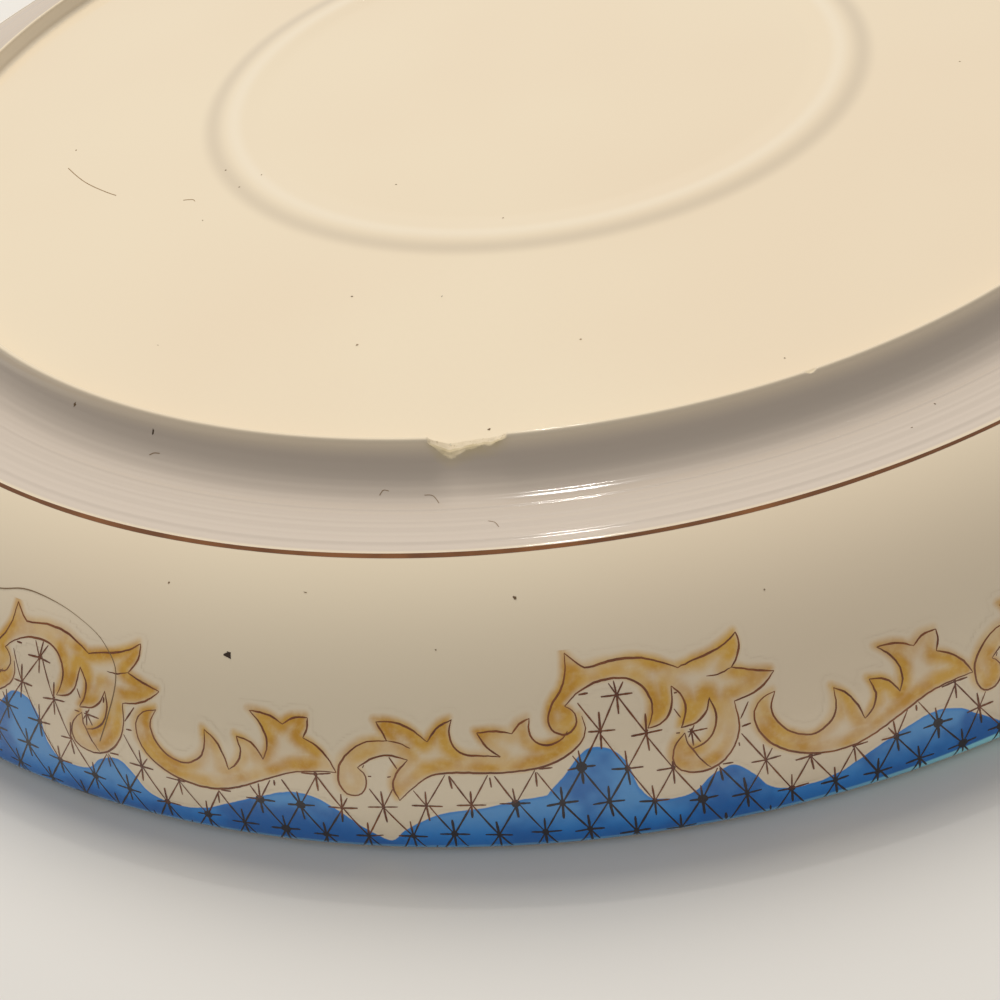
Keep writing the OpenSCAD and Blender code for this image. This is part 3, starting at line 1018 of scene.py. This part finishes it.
# %% Lay the crack, the specks and the fibres
CRUMB_BROWN, CRUMB_DARK = tint(158, 128, 92), tint(58, 42, 30)
FIBRE_HALF, CRACK_HALF = 0.04, 0.065
for degrees, r, size, strength in BASE_SPECKS:
    c = crumb(size)
    add_shape(on_bowl(r + c[:, 0], degrees + np.degrees(c[:, 1] / r)), strength)
for u, v, size, strength in WALL_SPECKS:
    c = crumb(size) * (1.25, 0.9)
    add_shape(on_wall(u + c[:, 0], v + c[:, 1], INK_LIFT), strength)
for fibre in FIBRES:
    way = resample(smooth_line([(math.radians(d) * r, r) for d, r in fibre]), 0.15)
    strip, strip_faces = strip_along(way, FIBRE_HALF)
    strength = 0.35 if fibre[0][1] > FOOT_R else 0.1
    add_shape(on_bowl(strip[:, 1], np.degrees(strip[:, 0] / strip[:, 1])), strength, strip_faces)
way = resample(smooth_line(CRACK), 0.5)
half = CRACK_HALF * (0.75 + 0.35 * np.sin(np.linspace(0, 9, len(way))))[:, None]
strip, strip_faces = strip_along(way, half)
add_shape(on_wall(strip[:, 0], strip[:, 1], INK_LIFT + 0.01), 0.35, strip_faces)
specks = add_mesh("dirt_and_crack", np.vstack(points), faces, {"dark": np.concatenate(dark)})
dirt = Nodes("dirt")
dirt.set(Base_Color=dirt.mix(dirt.attribute("dark"), CRUMB_BROWN, CRUMB_DARK), Roughness=0.75)
specks.data.materials.append(dirt.material)
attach(specks, "root")
print("dirt shapes:", len(points))

# %% [markdown]
# ## Floor, light and camera
#
# The bowl lies on a plain pale floor. One very large soft lamp hangs above and behind
# it, so the base is the brightest and the wall, which faces forward, falls into a soft
# shade. That lamp is left out of the glaze's mirror, where it would show as a big white
# patch. A small lamp in front of it draws the thin streaks on the foot and the shelf.
# The camera stands close, in front, and is tilted a little to the side, so the near
# part of the bowl fills the frame.

# %% Floor
floor_mesh = bpy.data.meshes.new("floor")
corners = [(x, y, 0) for x, y in ((-3, -3), (3, -3), (3, 3), (-3, 3))]
floor_mesh.from_pydata(corners, [], [(0, 1, 2, 3)])
floor = bpy.data.objects.new("floor", floor_mesh)
bpy.context.scene.collection.objects.link(floor)
pale = Nodes("floor")
pale.set(Base_Color=tint(226, 223, 218), Roughness=0.7)
floor.data.materials.append(pale.material)
print("floor corners, m:", corners)

# %% Lights
def area_light(name, place, target, size, power, colour, shape):
    """A lamp of a size in metres, which points at a target."""
    data = bpy.data.lights.new(name, "AREA")
    data.shape, data.size, data.energy, data.color = shape, size, power, colour
    obj = bpy.data.objects.new(name, data)
    obj.location = place
    obj.rotation_euler = (Vector(target) - Vector(place)).to_track_quat("-Z", "Y").to_euler()
    bpy.context.scene.collection.objects.link(obj)
    return obj


overhead = area_light("overhead", (-0.1, 1.0, 1.25), (0, 0, 0), 1.0, 20.5, (1.0, 0.97, 0.92), "DISK")
overhead.visible_glossy = False
streak = area_light("streak", (0.013, 0.60, 1.0), (0, -0.09, 0.03), 0.06, 0.9, (1.0, 0.98, 0.95), "RECTANGLE")
streak.data.size_y = 0.02
world = bpy.data.worlds.new("studio")
bpy.context.scene.world = world
world.use_nodes = True
background = world.node_tree.nodes["Background"]
background.inputs["Color"].default_value = (1.0, 0.98, 0.95, 1.0)
background.inputs["Strength"].default_value = 0.44

# %% Camera
# The tilt is measured from straight down, and the roll is to the camera's own side.
CAMERA_PLACE, CAMERA_TILT, CAMERA_ROLL = (-0.015988, -0.251889, 0.154068), 51.346, -10.688
camera_data = bpy.data.cameras.new("camera")
camera_data.lens, camera_data.sensor_width = 68.66, 36.0
camera_data.clip_start = 0.01
camera = bpy.data.objects.new("camera", camera_data)
camera.matrix_world = (Matrix.Translation(CAMERA_PLACE)
                       @ Matrix.Rotation(math.radians(CAMERA_TILT), 4, "X")
                       @ Matrix.Rotation(math.radians(CAMERA_ROLL), 4, "Z"))
bpy.context.scene.collection.objects.link(camera)
bpy.context.scene.camera = camera
bpy.context.scene.view_settings.view_transform = "Standard"
print("camera:", [round(c, 3) for c in camera.location])
